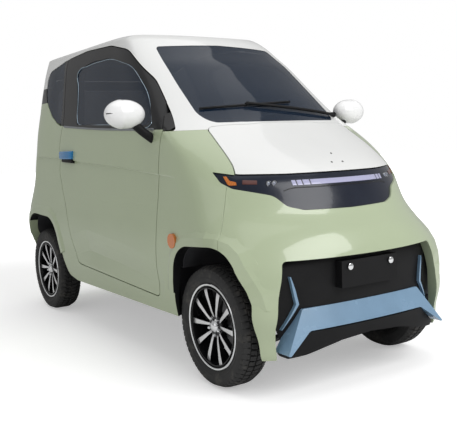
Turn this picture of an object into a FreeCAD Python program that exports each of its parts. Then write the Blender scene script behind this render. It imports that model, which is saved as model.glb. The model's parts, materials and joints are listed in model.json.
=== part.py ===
import FreeCAD, Part
import math
import os

os.makedirs("parts", exist_ok=True)

# Driving dimensions, mm. The car faces -Y, its left side is +X, the floor is at Z 0.
WHEELBASE = 2000.0
AXLE_FRONT = -989.2
AXLE_REAR = AXLE_FRONT + WHEELBASE
TYRE_RADIUS = 258.0
TYRE_WIDTH = 136.0
RIM_RADIUS = 183.0
WHEEL_CENTRE_X = 479.0
LINER_THICK = 5.0
WELL_SPLIT_Z = 300.0
WALL = 45.0
ROOF_THICK = 26.0
GAP = 5.0
HINGE_GAP = 8.0
SILL_BOTTOM = 262.0
FLOOR_TOP = 275.0
FLOOR_THICK = 30.0
BELT = 1086.0
ROOF_TOP = 1620.0
ROOF_PEAK_Y = 1300.0
ROOF_CROSS_CURVE = 0.00004
ROOF_FRONT_DROP = 34.0
ROOF_FRONT_RUN = 505.0
ROOF_FRONT_POWER = 3.5
ROOF_REAR_CURVE = 0.0
SHOULDER_DROP = 30.0
SHOULDER_POWER = 15
ROOF_HALF_WIDTH = 426.0
ROOF_REAR = 2230.0
ROOF_REAR_RUN = 260.0
ROOF_PLAN_POWER = 4.5
GLASS_THICK = 5.0
GLASS_DEPTH = 3.0
KINGPIN_LOW = (418.0, 150.0)
KINGPIN_HIGH = (338.0, 640.0)
WELL_INNER_FRONT = 250.0
WELL_INNER_REAR = 385.0
STEER_SWEEP_X = 400.0
STEER_SWEEP_RADIUS = 296.0
STEER_SWEEP_OUTER_X = 550.0
HUB_END_X = 486.0
FLARE_HEIGHT = 9.0
FLARE_WIDTH = 62.0
FLARE_TOP_WIDTH = 36.0
FLARE_LOW_Z = 300.0
FLARE_FADE = 110.0
FLARE_STATIONS = 36
FLOOR_STEP_Y = 1640.0
LOAD_FLOOR_TOP = 450.0
SEAT_LEAN = 10.0
PLATE_HOLE_SPACING = 180.0
PLATE_HOLE_RADIUS = 3.3
PLATE_HOLE_Z = 540.0

# Body stations: height, front, half width, nose depth, nose power, rear, tail depth, tail power.
# Front and rear are measured from the front axle.
STATIONS = [
    (150, -385, 532, 200, 2.4, 2340, 240, 2.6),
    (300, -402, 564, 210, 2.5, 2370, 260, 2.7),
    (450, -411, 580, 225, 2.25, 2384, 280, 2.8),
    (560, -408, 585, 280, 2.05, 2386, 290, 2.8),
    (640, -372, 584, 358, 2.0, 2372, 290, 2.7),
    (720, -305, 577, 378, 2.0, 2342, 290, 2.6),
    (800, -262, 571, 378, 2.0, 2312, 290, 2.3),
    (880, -228, 566, 392, 2.0, 2298, 290, 2.2),
    (940, -140, 562, 340, 2.0, 2290, 290, 2.2),
    (1000, -42, 556, 288, 2.0, 2283, 290, 2.2),
    (1060, 62, 548, 264, 2.0, 2277, 280, 2.2),
    (1110, 150, 540, 256, 2.0, 2272, 270, 2.2),
    (1160, 208, 531, 272, 2.0, 2266, 260, 2.2),
    (1250, 318, 510, 268, 2.0, 2256, 250, 2.4),
    (1350, 446, 487, 240, 2.1, 2248, 240, 2.6),
    (1430, 560, 468, 215, 2.2, 2242, 230, 2.7),
    (1510, 676, 446, 190, 2.35, 2236, 220, 2.8),
    (1580, 795, 424, 180, 2.4, 2228, 210, 2.8),
    (1680, 980, 392, 170, 2.4, 2214, 200, 2.8),
]
CORNER_STEPS = 9
SIDE_STEPS = 7
RING_COUNT = 21
ROOF_STEPS_ALONG = 20
ROOF_STEPS_ACROSS = 13


def vec(x, y, z):
    return FreeCAD.Vector(x, y, z)


def at(y):
    """Y of a place measured back from the front axle."""
    return AXLE_FRONT + y


def save(shape, name):
    shape.exportStep("parts/" + name + ".step")


def fused(shapes):
    return shapes[0].multiFuse(shapes[1:]).removeSplitter()


def pair(shape):
    """A piece and its mirror image on the car's other side."""
    return Part.makeCompound([shape, mirrored(shape)])


def mirrored(shape):
    return shape.mirror(vec(0, 0, 0), vec(1, 0, 0))


def biggest(shape):
    return max(shape.Solids, key=lambda solid: solid.Volume)


def box(x0, x1, y0, y1, z0, z1):
    return Part.makeBox(x1 - x0, y1 - y0, z1 - z0, vec(x0, y0, z0))


def tube(start, end, radius):
    direction = end.sub(start)
    return Part.makeCylinder(radius, direction.Length, start, direction)


def outline(points, place):
    """Closed outline of straight runs with rounded corners. Each point is (u, v, corner radius)."""
    count = len(points)
    corners = []
    for i, (u, v, radius) in enumerate(points):
        here = vec(u, v, 0)
        before = vec(points[i - 1][0], points[i - 1][1], 0).sub(here)
        after = vec(points[(i + 1) % count][0], points[(i + 1) % count][1], 0).sub(here)
        half_angle = before.getAngle(after) / 2
        reach = min(radius / math.tan(half_angle), 0.49 * before.Length, 0.49 * after.Length)
        turn_radius = reach * math.tan(half_angle)
        before.normalize()
        after.normalize()
        if reach < 0.01:
            corners.append((here, None, here))
            continue
        middle = before.add(after)
        middle.normalize()
        bulge = turn_radius / math.sin(half_angle) - turn_radius
        corners.append((here.add(before * reach), here.add(middle * bulge), here.add(after * reach)))
    edges = []
    for i, (enter, top, leave) in enumerate(corners):
        if top is not None:
            edges.append(Part.Arc(place(enter), place(top), place(leave)).toShape())
        following = corners[(i + 1) % count][0]
        if leave.distanceToPoint(following) > 0.01:
            edges.append(Part.LineSegment(place(leave), place(following)).toShape())
    return Part.Wire(edges)


def side_prism(points, x0, x1, grow=0.0):
    """Prism through the car's side: points are (y from the front axle, z, radius)."""
    wire = outline(points, lambda p: vec(x0, at(p.x), p.y))
    if grow:
        wire = wire.makeOffset2D(grow)
    return Part.Face(wire).extrude(vec(x1 - x0, 0, 0))


def front_prism(points, y0, y1, grow=0.0):
    """Prism along the car: points are (x, z, radius)."""
    wire = outline(points, lambda p: vec(p.x, y0, p.y))
    if grow:
        wire = wire.makeOffset2D(grow)
    return Part.Face(wire).extrude(vec(0, y1 - y0, 0))


def top_prism(points, z0, z1, grow=0.0):
    """Upright prism: points are (x, y from the front axle, radius)."""
    wire = outline(points, lambda p: vec(p.x, at(p.y), z0))
    if grow:
        wire = wire.makeOffset2D(grow)
    return Part.Face(wire).extrude(vec(0, 0, z1 - z0))


def both_ways(points):
    """Completes an outline drawn for x above 0 with its mirror image."""
    return points + [(-u, v, radius) for u, v, radius in reversed(points) if u > 0]


# Body envelope


def station_slope(i, column):
    """Slope of one column of the table at a station, level where the column turns."""
    here = STATIONS[i]
    before = STATIONS[max(i - 1, 0)]
    after = STATIONS[min(i + 1, len(STATIONS) - 1)]
    if i and (after[column] - here[column]) * (here[column] - before[column]) <= 0:
        return 0.0
    return (after[column] - before[column]) / (after[0] - before[0])


def station_at(height):
    """The body's outline at any height, on smooth curves through the table."""
    i = 0
    while height > STATIONS[i + 1][0] + 0.01:
        i += 1
    low, high = STATIONS[i], STATIONS[i + 1]
    span = high[0] - low[0]
    share = (height - low[0]) / span
    values = [height]
    for column in range(1, len(low)):
        leaving = station_slope(i, column) * span
        arriving = station_slope(i + 1, column) * span
        change = high[column] - low[column]
        square = 3 * change - 2 * leaving - arriving
        cube = leaving + arriving - 2 * change
        values.append(low[column] + leaving * share + square * share ** 2 + cube * share ** 3)
    return tuple(values)


def even_rings():
    """Outlines at even heights, so that the loft between them doesn't swing."""
    lowest, highest = STATIONS[0][0], STATIONS[-1][0]
    step = (highest - lowest) / (RING_COUNT - 1)
    return [station_at(lowest + step * i) for i in range(RING_COUNT)]


def ring_points(station, inset, corner_steps=CORNER_STEPS, side_steps=SIDE_STEPS):
    height, front, half, nose, nose_power, rear, tail, tail_power = station
    nose_y = at(front + nose)
    tail_y = at(rear - tail)
    width = half - inset
    points = []
    for i in range(corner_steps + 1):
        turn = math.pi / 2 * i / corner_steps
        x = width * math.sin(turn) ** (2 / nose_power)
        y = nose_y - (nose - inset) * math.cos(turn) ** (2 / nose_power)
        points.append(vec(x, y, height))
    for i in range(1, side_steps):
        points.append(vec(width, nose_y + (tail_y - nose_y) * i / side_steps, height))
    for i in range(corner_steps, -1, -1):
        turn = math.pi / 2 * i / corner_steps
        x = width * math.sin(turn) ** (2 / tail_power)
        y = tail_y + (tail - inset) * math.cos(turn) ** (2 / tail_power)
        points.append(vec(x, y, height))
    return points + [vec(-p.x, p.y, p.z) for p in reversed(points[1:-1])]


def ring_parameters(corner_steps, side_steps):
    """Chord lengths of a middle ring, shared by all rings so that the loft stays light."""
    points = ring_points(STATIONS[7], 0, corner_steps, side_steps)
    lengths = [0.0]
    for here, there in zip(points, points[1:] + points[:1]):
        lengths.append(lengths[-1] + here.distanceToPoint(there))
    return [length / lengths[-1] for length in lengths]


RINGS = even_rings()


def body_loft(stations, inset, corner_steps=CORNER_STEPS, side_steps=SIDE_STEPS):
    """Smooth solid through the body's level outlines, drawn in by the inset."""
    parameters = ring_parameters(corner_steps, side_steps)
    wires = []
    for station in stations:
        curve = Part.BSplineCurve()
        points = ring_points(station, inset, corner_steps, side_steps)
        curve.interpolate(Points=points, PeriodicFlag=True, Parameters=parameters)
        wires.append(Part.Wire(curve.toShape()))
    return Part.makeLoft(wires, True, False)


def roof_height(x, y, inset, lower):
    """Height of the roof skin: a crowned panel that turns down over a rounded shoulder at its edges."""
    across = abs(x) / (ROOF_HALF_WIDTH - inset)
    back = max(0.0, y - ROOF_REAR + ROOF_REAR_RUN) / (ROOF_REAR_RUN - inset)
    reach = (across ** ROOF_PLAN_POWER + back ** ROOF_PLAN_POWER) ** (1 / ROOF_PLAN_POWER)
    if reach < 1:
        turn = SHOULDER_DROP * reach ** SHOULDER_POWER
    else:
        turn = SHOULDER_DROP * (1 + SHOULDER_POWER * (reach - 1))
    if y < ROOF_PEAK_Y:
        crown = ROOF_FRONT_DROP * ((ROOF_PEAK_Y - y) / ROOF_FRONT_RUN) ** ROOF_FRONT_POWER
    else:
        crown = ROOF_REAR_CURVE * (y - ROOF_PEAK_Y) ** 2
    return ROOF_TOP - lower - turn - crown - ROOF_CROSS_CURVE * x * x


def over_roof(inset, lower):
    """Everything above the roof skin. The skin's points stand closer together towards its edges."""
    grid = []
    for i in range(-ROOF_STEPS_ALONG, ROOF_STEPS_ALONG + 1):
        y = 1480 + 940 * math.sin(math.pi / 2 * i / ROOF_STEPS_ALONG)
        row = []
        for j in range(-ROOF_STEPS_ACROSS, ROOF_STEPS_ACROSS + 1):
            x = 550 * math.sin(math.pi / 2 * j / ROOF_STEPS_ACROSS)
            row.append(vec(x, at(y), roof_height(x, y, inset, lower)))
        grid.append(row)
    surface = Part.BSplineSurface()
    surface.interpolate(grid)
    return surface.toShape().extrude(vec(0, 0, 700))


def envelope(inset, lower):
    """The whole body's outer form, drawn in by the inset."""
    return biggest(body_loft(RINGS, inset).cut(over_roof(inset, lower)))


def cavity():
    """Inside of the body, from the floor up to the headlining."""
    room = biggest(body_loft(RINGS[::2], WALL, 6, 4).cut(over_roof(WALL, ROOF_THICK)))
    return biggest(room.common(box(-700, 700, -1500, 1500, FLOOR_TOP - FLOOR_THICK, 1700)))


# Openings, drawn in the views where the real cuts are made

DOOR = [
    (396, 332, 25), (1384, 377, 60), (1500, 690, 200), (1628, 900, 120), (1622, 1100, 60),
    (1596, 1180, 200), (1714, 1558, 25), (1420, 1574, 500), (1090, 1562, 500), (850, 1512, 300),
    (573, 1338, 500), (437, 1218, 40), (349, 1090, 10), (362, 870, 200), (373, 666, 200), (395, 455, 100),
]
DOOR_WINDOW = [
    (440, 1116, 25), (1385, 1158, 25), (1450, 1330, 300), (1518, 1476, 50), (1300, 1502, 300),
    (1067, 1498, 300), (760, 1426, 300), (540, 1268, 200),
]
SAIL = [(285, 1090, 10), (344, 1090, 5), (437, 1218, 10)]
SAIL_OPENING = [(270, 1080, 10), (390, 1080, 5), (480, 1224, 5), (434, 1221, 10)]
QUARTER = [
    (1640, 1168, 20), (1720, 1184, 150), (1830, 1232, 200), (1930, 1305, 150), (1990, 1380, 150),
    (2013, 1465, 60), (1980, 1514, 50), (1872, 1534, 250), (1752, 1552, 15), (1672, 1316, 200),
]
DOOR_POST = [(1580, 1164, 2), (1639, 1164, 2), (1668, 1300, 200), (1752, 1556, 2), (1690, 1560, 2)]
QUARTER_OPENING = [
    (1560, 1162, 2), (1650, 1162, 20), (1720, 1182, 150), (1831, 1230, 200), (1932, 1304, 150),
    (1992, 1380, 150), (2015, 1466, 60), (1981, 1516, 50), (1872, 1536, 250), (1752, 1558, 15), (1660, 1562, 2),
]
WINDSCREEN = both_ways([(390, 1116, 60), (380, 1300, 600), (368, 1425, 300), (345, 1519, 25), (0, 1533, 0)])
REAR_WINDOW = both_ways([(370, 1150, 50), (335, 1420, 60)])
TAILGATE = both_ways([(380, 640, 60), (420, 900, 200), (420, 1180, 200), (370, 1480, 60)])
BONNET = both_ways([(470, -330, 5), (455, -110, 10), (424, -53, 200), (412, 75, 300), (396, 200, 20),
                    (200, 148, 300)])
LAMP_STRIP = both_ways([
    (0, 736, 0), (230, 740, 60), (294, 758, 40), (335, 803, 60), (465, 836, 30), (493, 862, 20),
    (500, 906, 3), (430, 889, 200), (262, 884, 300),
])
RECESS = both_ways([(409, 557, 22), (442, 420, 100), (455, 300, 60), (440, 100, 5)])
BAND = both_ways([(324, 359, 12), (436, 197, 3), (424, 196, 3), (313, 275, 25)])
LIP = both_ways([(311, 271, 25), (422, 190, 8), (405, 172, 8), (330, 180, 30), (250, 198, 60), (160, 215, 60),
                 (0, 226, 0)])
FENDER_SEAM = [(-700, 100, 0), (-60, 100, 0), (-140, 580, 30), (-117, 655, 200), (-90, 730, 200), (-70, 840, 0),
               (-60, 1000, 0), (-700, 1000, 0)]
ARCH_FRONT = [(250, 100, 0), (250, 345, 200), (190, 590, 140), (-170, 615, 180), (-295, 430, 200), (-295, 100, 0)]
ARCH_REAR = [
    (1400, 100, 0), (1425, 258, 30), (1560, 285, 80), (1612, 370, 60), (1690, 612, 170), (2095, 628, 170),
    (2278, 430, 200), (2280, 100, 0),
]
ARCHES = ((ARCH_FRONT, AXLE_FRONT, WELL_INNER_FRONT), (ARCH_REAR, AXLE_REAR, WELL_INNER_REAR))
TAIL_LAMP = [(450, 730, 12), (520, 740, 20), (525, 960, 30), (475, 1000, 12), (448, 900, 60)]

# Waist crease and lower ledge of the door side: (y from the front axle, z, depth of the hollow beside it).
WAIST_CREASE = [
    (170, 890, -3), (290, 897, 1), (400, 903, 5), (767, 931, 8), (1110, 946, 10), (1368, 961, 11), (1608, 979, 11),
    (1945, 987, 9), (2330, 987, 7),
]
DOOR_LEDGE = [
    (300, 378, -3), (382, 386, 6), (756, 425, 12), (1000, 442, 14), (1196, 456, 14), (1330, 430, 10), (1470, 395, 4),
    (1570, 372, -3),
]

BAND_TOP_Z = 359.0
BAND_TOP_Y = -360.0
BAND_SLOPE = 0.38
RECESS_DEPTH = 52.0
RECESS_TUCK = 12.0
SEAT_GAP = 0.4
LAMP_DEPTH = 8.0


# Body


def wheel_well(arch, inner, grow):
    """Space kept clear for a wheel on the car's left, from inside the body out past its side."""
    space = side_prism(arch, inner - grow, 700, grow)
    if arch is ARCH_FRONT:
        sweep = Part.makeCylinder(STEER_SWEEP_RADIUS + grow, 390, vec(STEER_SWEEP_X, AXLE_FRONT, 100))
        behind = box(inner - grow, STEER_SWEEP_OUTER_X + grow, AXLE_FRONT, AXLE_FRONT + 400, 100, 490 + grow)
        space = space.fuse(sweep.common(behind))
    return space


def wheel_wells(grow=0.0):
    spaces = [wheel_well(arch, inner, grow) for arch, axle, inner in ARCHES]
    return spaces + [mirrored(space) for space in spaces]


def side_x(z):
    """Half width of the body's straight sides at a height."""
    return station_at(z)[2]


def hollow(line, steps):
    """Tool that draws in the body side along a line. Steps are (height over the line, share of the depth)."""
    wires = []
    for y, z, depth in line:
        corners = [vec(700, at(y), z + steps[0][0])]
        for rise, share in steps:
            drawn_in = share * depth if share >= 0 else share * 3
            corners.append(vec(side_x(z + rise) - drawn_in, at(y), z + rise))
        corners.append(vec(700, at(y), z + steps[-1][0]))
        wires.append(Part.makePolygon(corners + [corners[0]]))
    return Part.makeLoft(wires, True, True)


def skin_x(y, z):
    """Half width of the body at a place on its side, y from the front axle."""
    height, front, half, nose, nose_power, rear, tail, tail_power = station_at(z)
    ahead = max(0.0, (front + nose - y) / nose)
    behind = max(0.0, (y - rear + tail) / tail)
    power = nose_power if ahead else tail_power
    return half * (1 - min(0.95, max(ahead, behind) ** power)) ** (1 / power)


def flare(arch, axle):
    """Low raised band around a wheel arch, which fades out towards the sill."""
    wire = outline(arch, lambda p: vec(0, p.x, p.y))
    path = [p for p in wire.discretize(Number=FLARE_STATIONS) if p.z > FLARE_LOW_Z]
    sections = []
    for before, here, after in zip(path, path[1:], path[2:]):
        along = after.sub(before)
        along.normalize()
        out = vec(0, -along.z, along.y)
        if out.dot(here.sub(vec(0, axle - AXLE_FRONT, FLARE_LOW_Z))) < 0:
            out = out * -1
        rise = FLARE_HEIGHT * min(1.0, (here.z - FLARE_LOW_Z) / FLARE_FADE)
        corners = []
        for away, height in ((-30, rise), (FLARE_TOP_WIDTH, rise), (FLARE_WIDTH, 0), (FLARE_WIDTH, -30), (-30, -30)):
            place = here.add(out * away)
            corners.append(vec(skin_x(place.y, place.z) + height, at(place.y), place.z))
        sections.append(Part.makePolygon(corners + [corners[0]]))
    return Part.makeLoft(sections, True, True)


def shaped_body():
    """The envelope with its hollows beside the waist crease and the door's ledge, and its arch flares."""
    body = envelope(0, 0)
    crease = hollow(WAIST_CREASE, [(-2, -1), (-10, 1), (-75, 0.65), (-160, 0.25), (-240, -1)])
    ledge = hollow(DOOR_LEDGE, [(150, -1), (80, 0.3), (8, 1), (-85, -1)])
    for tool in (crease, ledge):
        body = biggest(biggest(body.cut(tool)).cut(mirrored(tool)))
    flares = [flare(arch, axle) for arch, axle, inner in ARCHES]
    return biggest(body.multiFuse(flares + [mirrored(piece) for piece in flares]))


OUTER = shaped_body()
INNER = cavity()
WELLS = wheel_wells()
GLASS_OUTER = envelope(GLASS_DEPTH, GLASS_DEPTH)
GLASS_INNER = envelope(GLASS_DEPTH + GLASS_THICK, GLASS_DEPTH + GLASS_THICK)


def panel(zone, holes=()):
    """Body panel: the wall of the body inside a zone, with openings cut."""
    piece = OUTER.common(zone)
    for hole in holes:
        if piece.BoundBox.intersect(hole.BoundBox):
            piece = biggest(piece.cut(hole))
    return biggest(piece.cut(INNER))


def pane(zone):
    """Glass pane: a thin layer just under the skin of the body."""
    return biggest(GLASS_OUTER.common(zone).cut(GLASS_INNER))


def doors():
    zone = side_prism(DOOR, 300, 700)
    door = panel(zone, [side_prism(DOOR_WINDOW, 300, 700)])
    glass = pane(side_prism(DOOR_WINDOW, 300, 700, -1))
    return door, glass


def roof_shell():
    """White upper shell: roof, windscreen pillars, cant rails and rear pillars."""
    split = at(1600)
    zone = box(0, 700, at(140), split, BELT, 1700).fuse(box(0, 700, split, 1500, 1412, 1700))
    holes = [front_prism(WINDSCREEN, -1500, at(1000))]
    for outline_points, gap in ((DOOR, GAP), (QUARTER_OPENING, 0), (SAIL_OPENING, 0)):
        holes.append(side_prism(outline_points, 250, 700, gap))
    holes.append(front_prism(TAILGATE, at(1900), 1500, GAP))
    holes.append(top_prism(BONNET, 1000, 1300, GAP).common(box(-700, 700, -1500, at(230), 100, 1130)))
    half = panel(zone, holes)
    return biggest(half.fuse(mirrored(half)))


def side_panel():
    """One side of the lower body: wing, sill, post and rear quarter."""
    zone = box(0, 700, -1500, at(2352), SILL_BOTTOM, BELT - 0.5)
    zone = zone.fuse(box(0, 700, at(1600), 1500, BELT - 1, 1318))
    holes = [
        side_prism(DOOR, 300, 700, GAP),
        side_prism(QUARTER_OPENING, 300, 700),
        side_prism(FENDER_SEAM, -10, 700, 2),
        front_prism(LAMP_STRIP, -1500, at(80)),
        top_prism(BONNET, 860, 1300, GAP),
        front_prism(TAILGATE, at(1900), 1500, GAP),
        box(-10, 700, at(2150), 1500, 0, 634),
        front_prism(TAIL_LAMP, at(1900), 1500),
    ]
    return panel(zone, holes + WELLS)


def front_bumper():
    zone = side_prism(FENDER_SEAM, -700, 700).common(box(-700, 700, -1500, at(0), 170, 1000))
    holes = [
        front_prism(LAMP_STRIP, -1500, at(80)),
        front_prism(RECESS, -1500, at(-200)),
        top_prism(BONNET, 860, 1300, GAP),
    ]
    return panel(zone, holes + WELLS)


def rear_bumper():
    zone = box(-700, 700, at(2150), 1500, 215, 630)
    holes = []
    for x in (-PLATE_HOLE_SPACING / 2, PLATE_HOLE_SPACING / 2):
        holes.append(tube(vec(x, at(2250), PLATE_HOLE_Z), vec(x, at(2450), PLATE_HOLE_Z), PLATE_HOLE_RADIUS))
    return panel(zone, WELLS + holes)


def lower_body(inset):
    """The body up to above its waist, some depth under its surface."""
    return body_loft([ring for ring in RINGS if ring[0] < 1250], inset)


def layer(zone, depth, thickness):
    """A piece that follows the body, from some depth under its surface."""
    return biggest(lower_body(depth).common(zone).cut(lower_body(depth + thickness)))


def front_y(x, z):
    """Y of the body's front at a place on it."""
    ray = Part.makeLine(vec(x, -1600, z), vec(x, 200, z))
    return ray.common(OUTER).BoundBox.YMin


def lamp_strip():
    zone = front_prism(LAMP_STRIP, -1500, at(80), -0.5)
    return layer(zone, LAMP_DEPTH, 30)


def recess_panel():
    zone = front_prism(RECESS, -1500, at(-200), RECESS_TUCK).common(box(-700, 700, -1500, 0, 240, 1000))
    piece = layer(zone, RECESS_DEPTH, 20)
    for well in wheel_wells(1)[::2]:
        piece = biggest(piece.cut(well))
    return piece


def in_front_of_band():
    """Everything ahead of the leaning, slightly bowed face of the silver band."""
    grid = []
    for z in range(100, 461, 60):
        row = []
        for x in range(-500, 501, 100):
            y = at(BAND_TOP_Y + 16 * (x / 324) ** 2 - BAND_SLOPE * (BAND_TOP_Z - z))
            row.append(vec(x, y, z))
        grid.append(row)
    surface = Part.BSplineSurface()
    surface.interpolate(grid)
    return surface.toShape().extrude(vec(0, -400, 0))


def silver_band():
    band = front_prism(BAND, -1500, at(-300)).cut(in_front_of_band())
    return biggest(band.cut(lower_body(RECESS_DEPTH - SEAT_GAP)))


def lower_lip():
    zone = front_prism(LIP, -1500, at(-200))
    piece = biggest(OUTER.common(zone).cut(lower_body(RECESS_DEPTH - SEAT_GAP)))
    for well in WELLS[::2]:
        piece = biggest(piece.cut(well))
    return piece


def chevrons():
    points = [(376, 522, 2), (352, 440, 4), (340, 381, 3), (424, 259, 1), (352, 381, 3), (360, 425, 4)]
    zone = front_prism(points, -1500, at(-250))
    return pair(layer(zone, RECESS_DEPTH - 16, 16 - SEAT_GAP))


def plate_bracket():
    plate = box(-155, 155, at(-392), at(-340), 425, 535)
    plate = biggest(plate.cut(lower_body(RECESS_DEPTH - SEAT_GAP)))
    bolts = [tube(vec(x, at(-398), 510), vec(x, at(-391), 510), 9) for x in (-113, 113)]
    return fused([plate] + bolts)


def lamps():
    """Light bar, twin headlamps and turn lamps as raised pieces on the lamp strip."""
    bar_zone = front_prism(both_ways([(264, 836, 4), (264, 852, 4)]), -1500, at(0))
    bar = layer(bar_zone, LAMP_DEPTH - 3, 3 - SEAT_GAP)
    lenses = []
    for x in (313, 334):
        zone = tube(vec(x, -1500, 852), vec(x, at(0), 852), 9.5)
        lenses.append(layer(zone, LAMP_DEPTH - 4, 4 - SEAT_GAP))
    turn_points = [(474, 887, 3), (464, 887, 3), (461, 869, 4), (444, 863, 3), (445, 850, 3), (470, 850, 5)]
    turn_zone = front_prism(turn_points, -1500, at(60))
    turn = layer(turn_zone, LAMP_DEPTH - 3, 3 - SEAT_GAP)
    return bar, pair(Part.makeCompound(lenses)), pair(turn)


def tailgate():
    zone = front_prism(TAILGATE, at(1900), 1500)
    gate = panel(zone, [front_prism(REAR_WINDOW, at(1900), 1500)])
    glass = pane(front_prism(REAR_WINDOW, at(1900), 1500, -1))
    return gate, glass


def bonnet():
    zone = top_prism(BONNET, 870, 1119)
    holes = [front_prism(LAMP_STRIP, -1500, at(80), GAP), front_prism(WINDSCREEN, -1500, at(300), HINGE_GAP)]
    return panel(zone, holes)


def pillar_band():
    zone = box(250, 700, at(1905), 1500, 1318.5, 1411.5)
    holes = [side_prism(QUARTER_OPENING, 300, 700), front_prism(TAILGATE, at(1900), 1500, GAP)]
    return pair(panel(zone, holes))


def door_post():
    """Black strip of the body between the door and the quarter glass."""
    return pair(panel(side_prism(DOOR_POST, 250, 700), [side_prism(DOOR, 300, 700, GAP)]))


def sail_panel():
    return pair(panel(side_prism(SAIL, 250, 700), [side_prism(DOOR, 300, 700, GAP)]))


def wheel_liners():
    liners = []
    for arch, axle, inner in ARCHES:
        liner = wheel_well(arch, inner, 0).common(INNER).cut(wheel_well(arch, inner, -LINER_THICK))
        liner = liner.cut(tube(vec(KINGPIN_HIGH[0], axle, 560), vec(KINGPIN_HIGH[0], axle, 700), 56))
        liner = liner.cut(tube(vec(300, axle, TYRE_RADIUS), vec(450, axle, TYRE_RADIUS), 105))
        if arch is ARCH_FRONT:
            liner = liner.cut(box(inner, 700, axle - 400, axle, 0, WELL_SPLIT_Z))
        liners.append(biggest(liner))
    return pair(Part.makeCompound(liners))


def windscreen():
    return pane(front_prism(WINDSCREEN, -1500, at(1000), -1))


# Chassis


def floor_pan():
    """Cabin floor, with a step up to the load floor over the motor."""
    cabin = box(-700, 700, at(345), at(FLOOR_STEP_Y), FLOOR_TOP - FLOOR_THICK, FLOOR_TOP)
    step = box(-700, 700, at(FLOOR_STEP_Y), at(FLOOR_STEP_Y + 25), FLOOR_TOP - FLOOR_THICK, LOAD_FLOOR_TOP)
    load = box(-700, 700, at(FLOOR_STEP_Y), 1500, LOAD_FLOOR_TOP - FLOOR_THICK, LOAD_FLOOR_TOP)
    slab = INNER.common(fused([cabin, step, load]))
    return biggest(slab.cut(WELLS))


def battery():
    return box(-320, 320, at(480), at(1520), 165, FLOOR_TOP - FLOOR_THICK)


def firewall():
    """Bulkhead between the bonnet space and the cabin, with the beams and towers that carry the front struts."""
    wall = box(-700, 700, at(345), at(370), FLOOR_TOP, 1040)
    wall = biggest(wall.common(INNER).cut(WELLS))
    beam = box(200, 245, at(-40), at(350), 560, 640)
    tower = Part.makeCylinder(55, 40, vec(KINGPIN_HIGH[0], at(0), 604))
    arm = box(200, KINGPIN_HIGH[0], at(-40), at(40), 612, 640)
    leg = box(200, 245, at(-40), at(40), FLOOR_TOP, 640)
    towers = [piece for part in (beam, tower, arm, leg) for piece in (part, mirrored(part))]
    return fused([wall] + towers)


def front_subframe():
    rails = [box(x - 30, x + 30, at(-180), at(430), 190, FLOOR_TOP - FLOOR_THICK) for x in (-190, 190)]
    horns = [box(x - 25, x + 25, at(-290), at(-150), 240, 290) for x in (-190, 190)]
    beams = [box(-220, 220, at(y - 30), at(y + 30), 190, 240) for y in (-120, 140)]
    beam = box(-245, 245, at(-300), at(-250), 250, 330)
    arms = []
    for sign in (-1, 1):
        for y in (-120, 120):
            arms.append(tube(vec(sign * 200, at(y), 200), vec(sign * KINGPIN_LOW[0], at(0), 128), 14))
        arms.append(Part.makeCylinder(22, 34, vec(sign * KINGPIN_LOW[0], at(0), 116)))
    rack = tube(vec(-190, at(100), 262), vec(190, at(100), 262), 22)
    stands = [box(x - 12, x + 12, at(80), at(120), 230, 262) for x in (-120, 120)]
    return fused(rails + horns + beams + [beam, rack] + stands + arms)


def rear_axle():
    beam = tube(vec(-360, at(WHEELBASE), TYRE_RADIUS), vec(360, at(WHEELBASE), TYRE_RADIUS), 32)
    gearbox = Part.makeCylinder(95, 130, vec(-65, at(WHEELBASE), TYRE_RADIUS), vec(1, 0, 0))
    flanges = [Part.makeCylinder(60, 12, vec(x, at(WHEELBASE), TYRE_RADIUS), vec(1, 0, 0)) for x in (-372, 360)]
    drum_length = HUB_END_X - 372
    for x in (-HUB_END_X, 372):
        flanges.append(Part.makeCylinder(90, drum_length, vec(x, at(WHEELBASE), TYRE_RADIUS), vec(1, 0, 0)))
    arms = []
    for sign in (-1, 1):
        arms.append(tube(vec(sign * 300, at(WHEELBASE), TYRE_RADIUS), vec(sign * 300, at(1560), 213), 20))
        arms.append(tube(vec(sign * 270, at(1560), 213), vec(sign * 330, at(1560), 213), 28))
        arms.append(box(sign * 300 - 30, sign * 300 + 30, at(1545), at(1575), 213, FLOOR_TOP - FLOOR_THICK))
        arms.append(tube(vec(sign * 310, at(WHEELBASE) + 20, 262), vec(sign * 310, at(WHEELBASE) + 38, 416), 18))
        arms.append(tube(vec(sign * 310, at(WHEELBASE) + 26, 312), vec(sign * 310, at(WHEELBASE) + 36, 400), 42))
    return fused([beam, gearbox] + flanges + arms)


def motor():
    return Part.makeCylinder(88, 200, vec(-270, at(WHEELBASE) - 185, 300), vec(1, 0, 0))


# Steering and wheels


def kingpin_point(z):
    share = (z - KINGPIN_LOW[1]) / (KINGPIN_HIGH[1] - KINGPIN_LOW[1])
    return vec(KINGPIN_LOW[0] + share * (KINGPIN_HIGH[0] - KINGPIN_LOW[0]), AXLE_FRONT, z)


def knuckle():
    upright = fused([
        tube(kingpin_point(162), kingpin_point(300), 24),
        tube(kingpin_point(290), kingpin_point(598), 19),
        tube(kingpin_point(530), kingpin_point(590), 40),
        Part.makeCylinder(34, 46, vec(384, AXLE_FRONT, TYRE_RADIUS), vec(1, 0, 0)),
        Part.makeCylinder(100, 9, vec(430, AXLE_FRONT, TYRE_RADIUS), vec(1, 0, 0)),
        Part.makeCylinder(52, HUB_END_X - 438, vec(438, AXLE_FRONT, TYRE_RADIUS), vec(1, 0, 0)),
    ])
    return upright


def wheel_profile(points):
    """Ring turned about the wheel's axis from (offset along the axle, radius) points."""
    place = lambda p: vec(p.x, 0, p.y)
    face = Part.Face(outline(points, place))
    return face.revolve(vec(0, 0, 0), vec(1, 0, 0), 360)


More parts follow.
